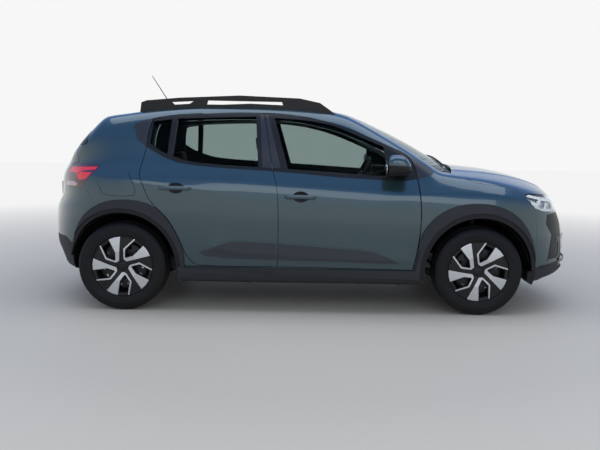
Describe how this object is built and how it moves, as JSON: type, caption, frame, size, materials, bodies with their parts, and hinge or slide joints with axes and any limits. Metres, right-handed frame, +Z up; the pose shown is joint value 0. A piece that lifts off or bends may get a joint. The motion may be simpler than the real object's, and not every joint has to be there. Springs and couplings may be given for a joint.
{
  "type": "hatchback car",
  "caption": "Hatchback car with raised arch trim and roof rails: opening doors, bonnet and tailgate, steered front wheels and rolling wheels on a hollow cabin.",
  "frame": {"origin": "on the ground at mid length and mid width", "axes": "+X to the nose, +Y to the car's left, +Z up"},
  "size_m": [4.0857, 2.0006, 1.7556],
  "materials": {
    "paint": "gloss metallic",
    "cladding": "grained",
    "black_trim": "satin",
    "glass": "clear, slightly tinted",
    "lamp_clear": "clear",
    "lamp_red": "gloss",
    "liner": "matt",
    "underbody": "matt",
    "interior": "grained",
    "seat_cloth": "woven",
    "chassis": "raw",
    "engine": "cast",
    "steel": "dull",
    "tank": "matt",
    "rim": "silver and black",
    "tyre": "matt"
  },
  "bodies": {
    "root": {"floor_pan": "underbody", "body_sides": "paint", "roof_panel": "paint", "bulkhead": "underbody", "wheel_houses": "liner", "front_fenders": "paint", "front_bumper": "paint", "rear_bumper": "paint", "side_cladding": "cladding", "roof_rails": "black_trim", "windscreen": "glass", "headlamps": "lamp_clear", "tail_lamps": "lamp_red", "grille": "black_trim", "dashboard": "interior", "front_seats": "seat_cloth", "rear_seat": "seat_cloth", "rear_axle": "chassis", "front_subframe": "chassis", "engine_block": "engine", "exhaust": "steel", "fuel_tank": "tank"},
    "knuckle_right": {"knuckle_right": "chassis"},
    "knuckle_left": {"knuckle_left": "chassis"},
    "wheel_front_right": {"rim_front_right": "rim", "tyre_front_right": "tyre"},
    "wheel_front_left": {"rim_front_left": "rim", "tyre_front_left": "tyre"},
    "wheel_rear_right": {"rim_rear_right": "rim", "tyre_rear_right": "tyre"},
    "wheel_rear_left": {"rim_rear_left": "rim", "tyre_rear_left": "tyre"},
    "door_front_right": {"door_front_right": "paint", "glass_front_right": "glass"},
    "door_front_left": {"door_front_left": "paint", "glass_front_left": "glass"},
    "door_rear_right": {"door_rear_right": "paint", "glass_rear_right": "glass"},
    "door_rear_left": {"door_rear_left": "paint", "glass_rear_left": "glass"},
    "bonnet": {"bonnet": "paint"},
    "tailgate": {"tailgate": "paint", "tailgate_glass": "glass"},
    "fuel_flap": {"fuel_flap": "paint"},
    "steering_wheel": {"steering_wheel": "interior"}
  },
  "joints": [
    {"name": "steer_right", "type": "hinge", "parent": "root", "child": "knuckle_right", "pos_m": [1.2225, -0.69, 0.2], "axis": [0, 0.2154, 0.9765], "range_deg": [-35, 35]},
    {"name": "steer_left", "type": "hinge", "parent": "root", "child": "knuckle_left", "pos_m": [1.2225, 0.69, 0.2], "axis": [0, -0.2154, 0.9765], "range_deg": [-35, 35]},
    {"name": "spin_front_right", "type": "hinge", "parent": "knuckle_right", "child": "wheel_front_right", "pos_m": [1.2225, -0.757, 0.326], "axis": [0, 1, 0], "continuous": true},
    {"name": "spin_front_left", "type": "hinge", "parent": "knuckle_left", "child": "wheel_front_left", "pos_m": [1.2225, 0.757, 0.326], "axis": [0, 1, 0], "continuous": true},
    {"name": "spin_rear_right", "type": "hinge", "parent": "root", "child": "wheel_rear_right", "pos_m": [-1.3815, -0.757, 0.326], "axis": [0, 1, 0], "continuous": true},
    {"name": "spin_rear_left", "type": "hinge", "parent": "root", "child": "wheel_rear_left", "pos_m": [-1.3815, 0.757, 0.326], "axis": [0, 1, 0], "continuous": true},
    {"name": "open_door_front_right", "type": "hinge", "parent": "root", "child": "door_front_right", "pos_m": [0.764, -0.882, 0.6], "axis": [0, 0, 1], "range_deg": [0, 65]},
    {"name": "open_door_front_left", "type": "hinge", "parent": "root", "child": "door_front_left", "pos_m": [0.764, 0.882, 0.6], "axis": [0, 0, -1], "range_deg": [0, 65]},
    {"name": "open_door_rear_right", "type": "hinge", "parent": "root", "child": "door_rear_right", "pos_m": [-0.26, -0.879, 0.6], "axis": [0, 0, 1], "range_deg": [0, 68]},
    {"name": "open_door_rear_left", "type": "hinge", "parent": "root", "child": "door_rear_left", "pos_m": [-0.26, 0.879, 0.6], "axis": [0, 0, -1], "range_deg": [0, 68]},
    {"name": "open_bonnet", "type": "hinge", "parent": "root", "child": "bonnet", "pos_m": [0.9855, 0, 1.02], "axis": [0, -1, 0], "range_deg": [0, 50]},
    {"name": "open_tailgate", "type": "hinge", "parent": "root", "child": "tailgate", "pos_m": [-1.4805, 0, 1.452], "axis": [0, 1, 0], "range_deg": [0, 80]},
    {"name": "open_fuel_flap", "type": "hinge", "parent": "root", "child": "fuel_flap", "pos_m": [-1.289, -0.872, 0.93], "axis": [0, 0, 1], "range_deg": [0, 80]},
    {"name": "turn_steering_wheel", "type": "hinge", "parent": "root", "child": "steering_wheel", "pos_m": [0.375, -0.375, 0.975], "axis": [-0.9135, 0, 0.4067], "range_deg": [-540, 540]}
  ],
  "couplings": [
    {"joint": "steer_left", "follows": "steer_right", "ratio": 1},
    {"joint": "turn_steering_wheel", "follows": "steer_right", "ratio": 14.5}
  ]
}
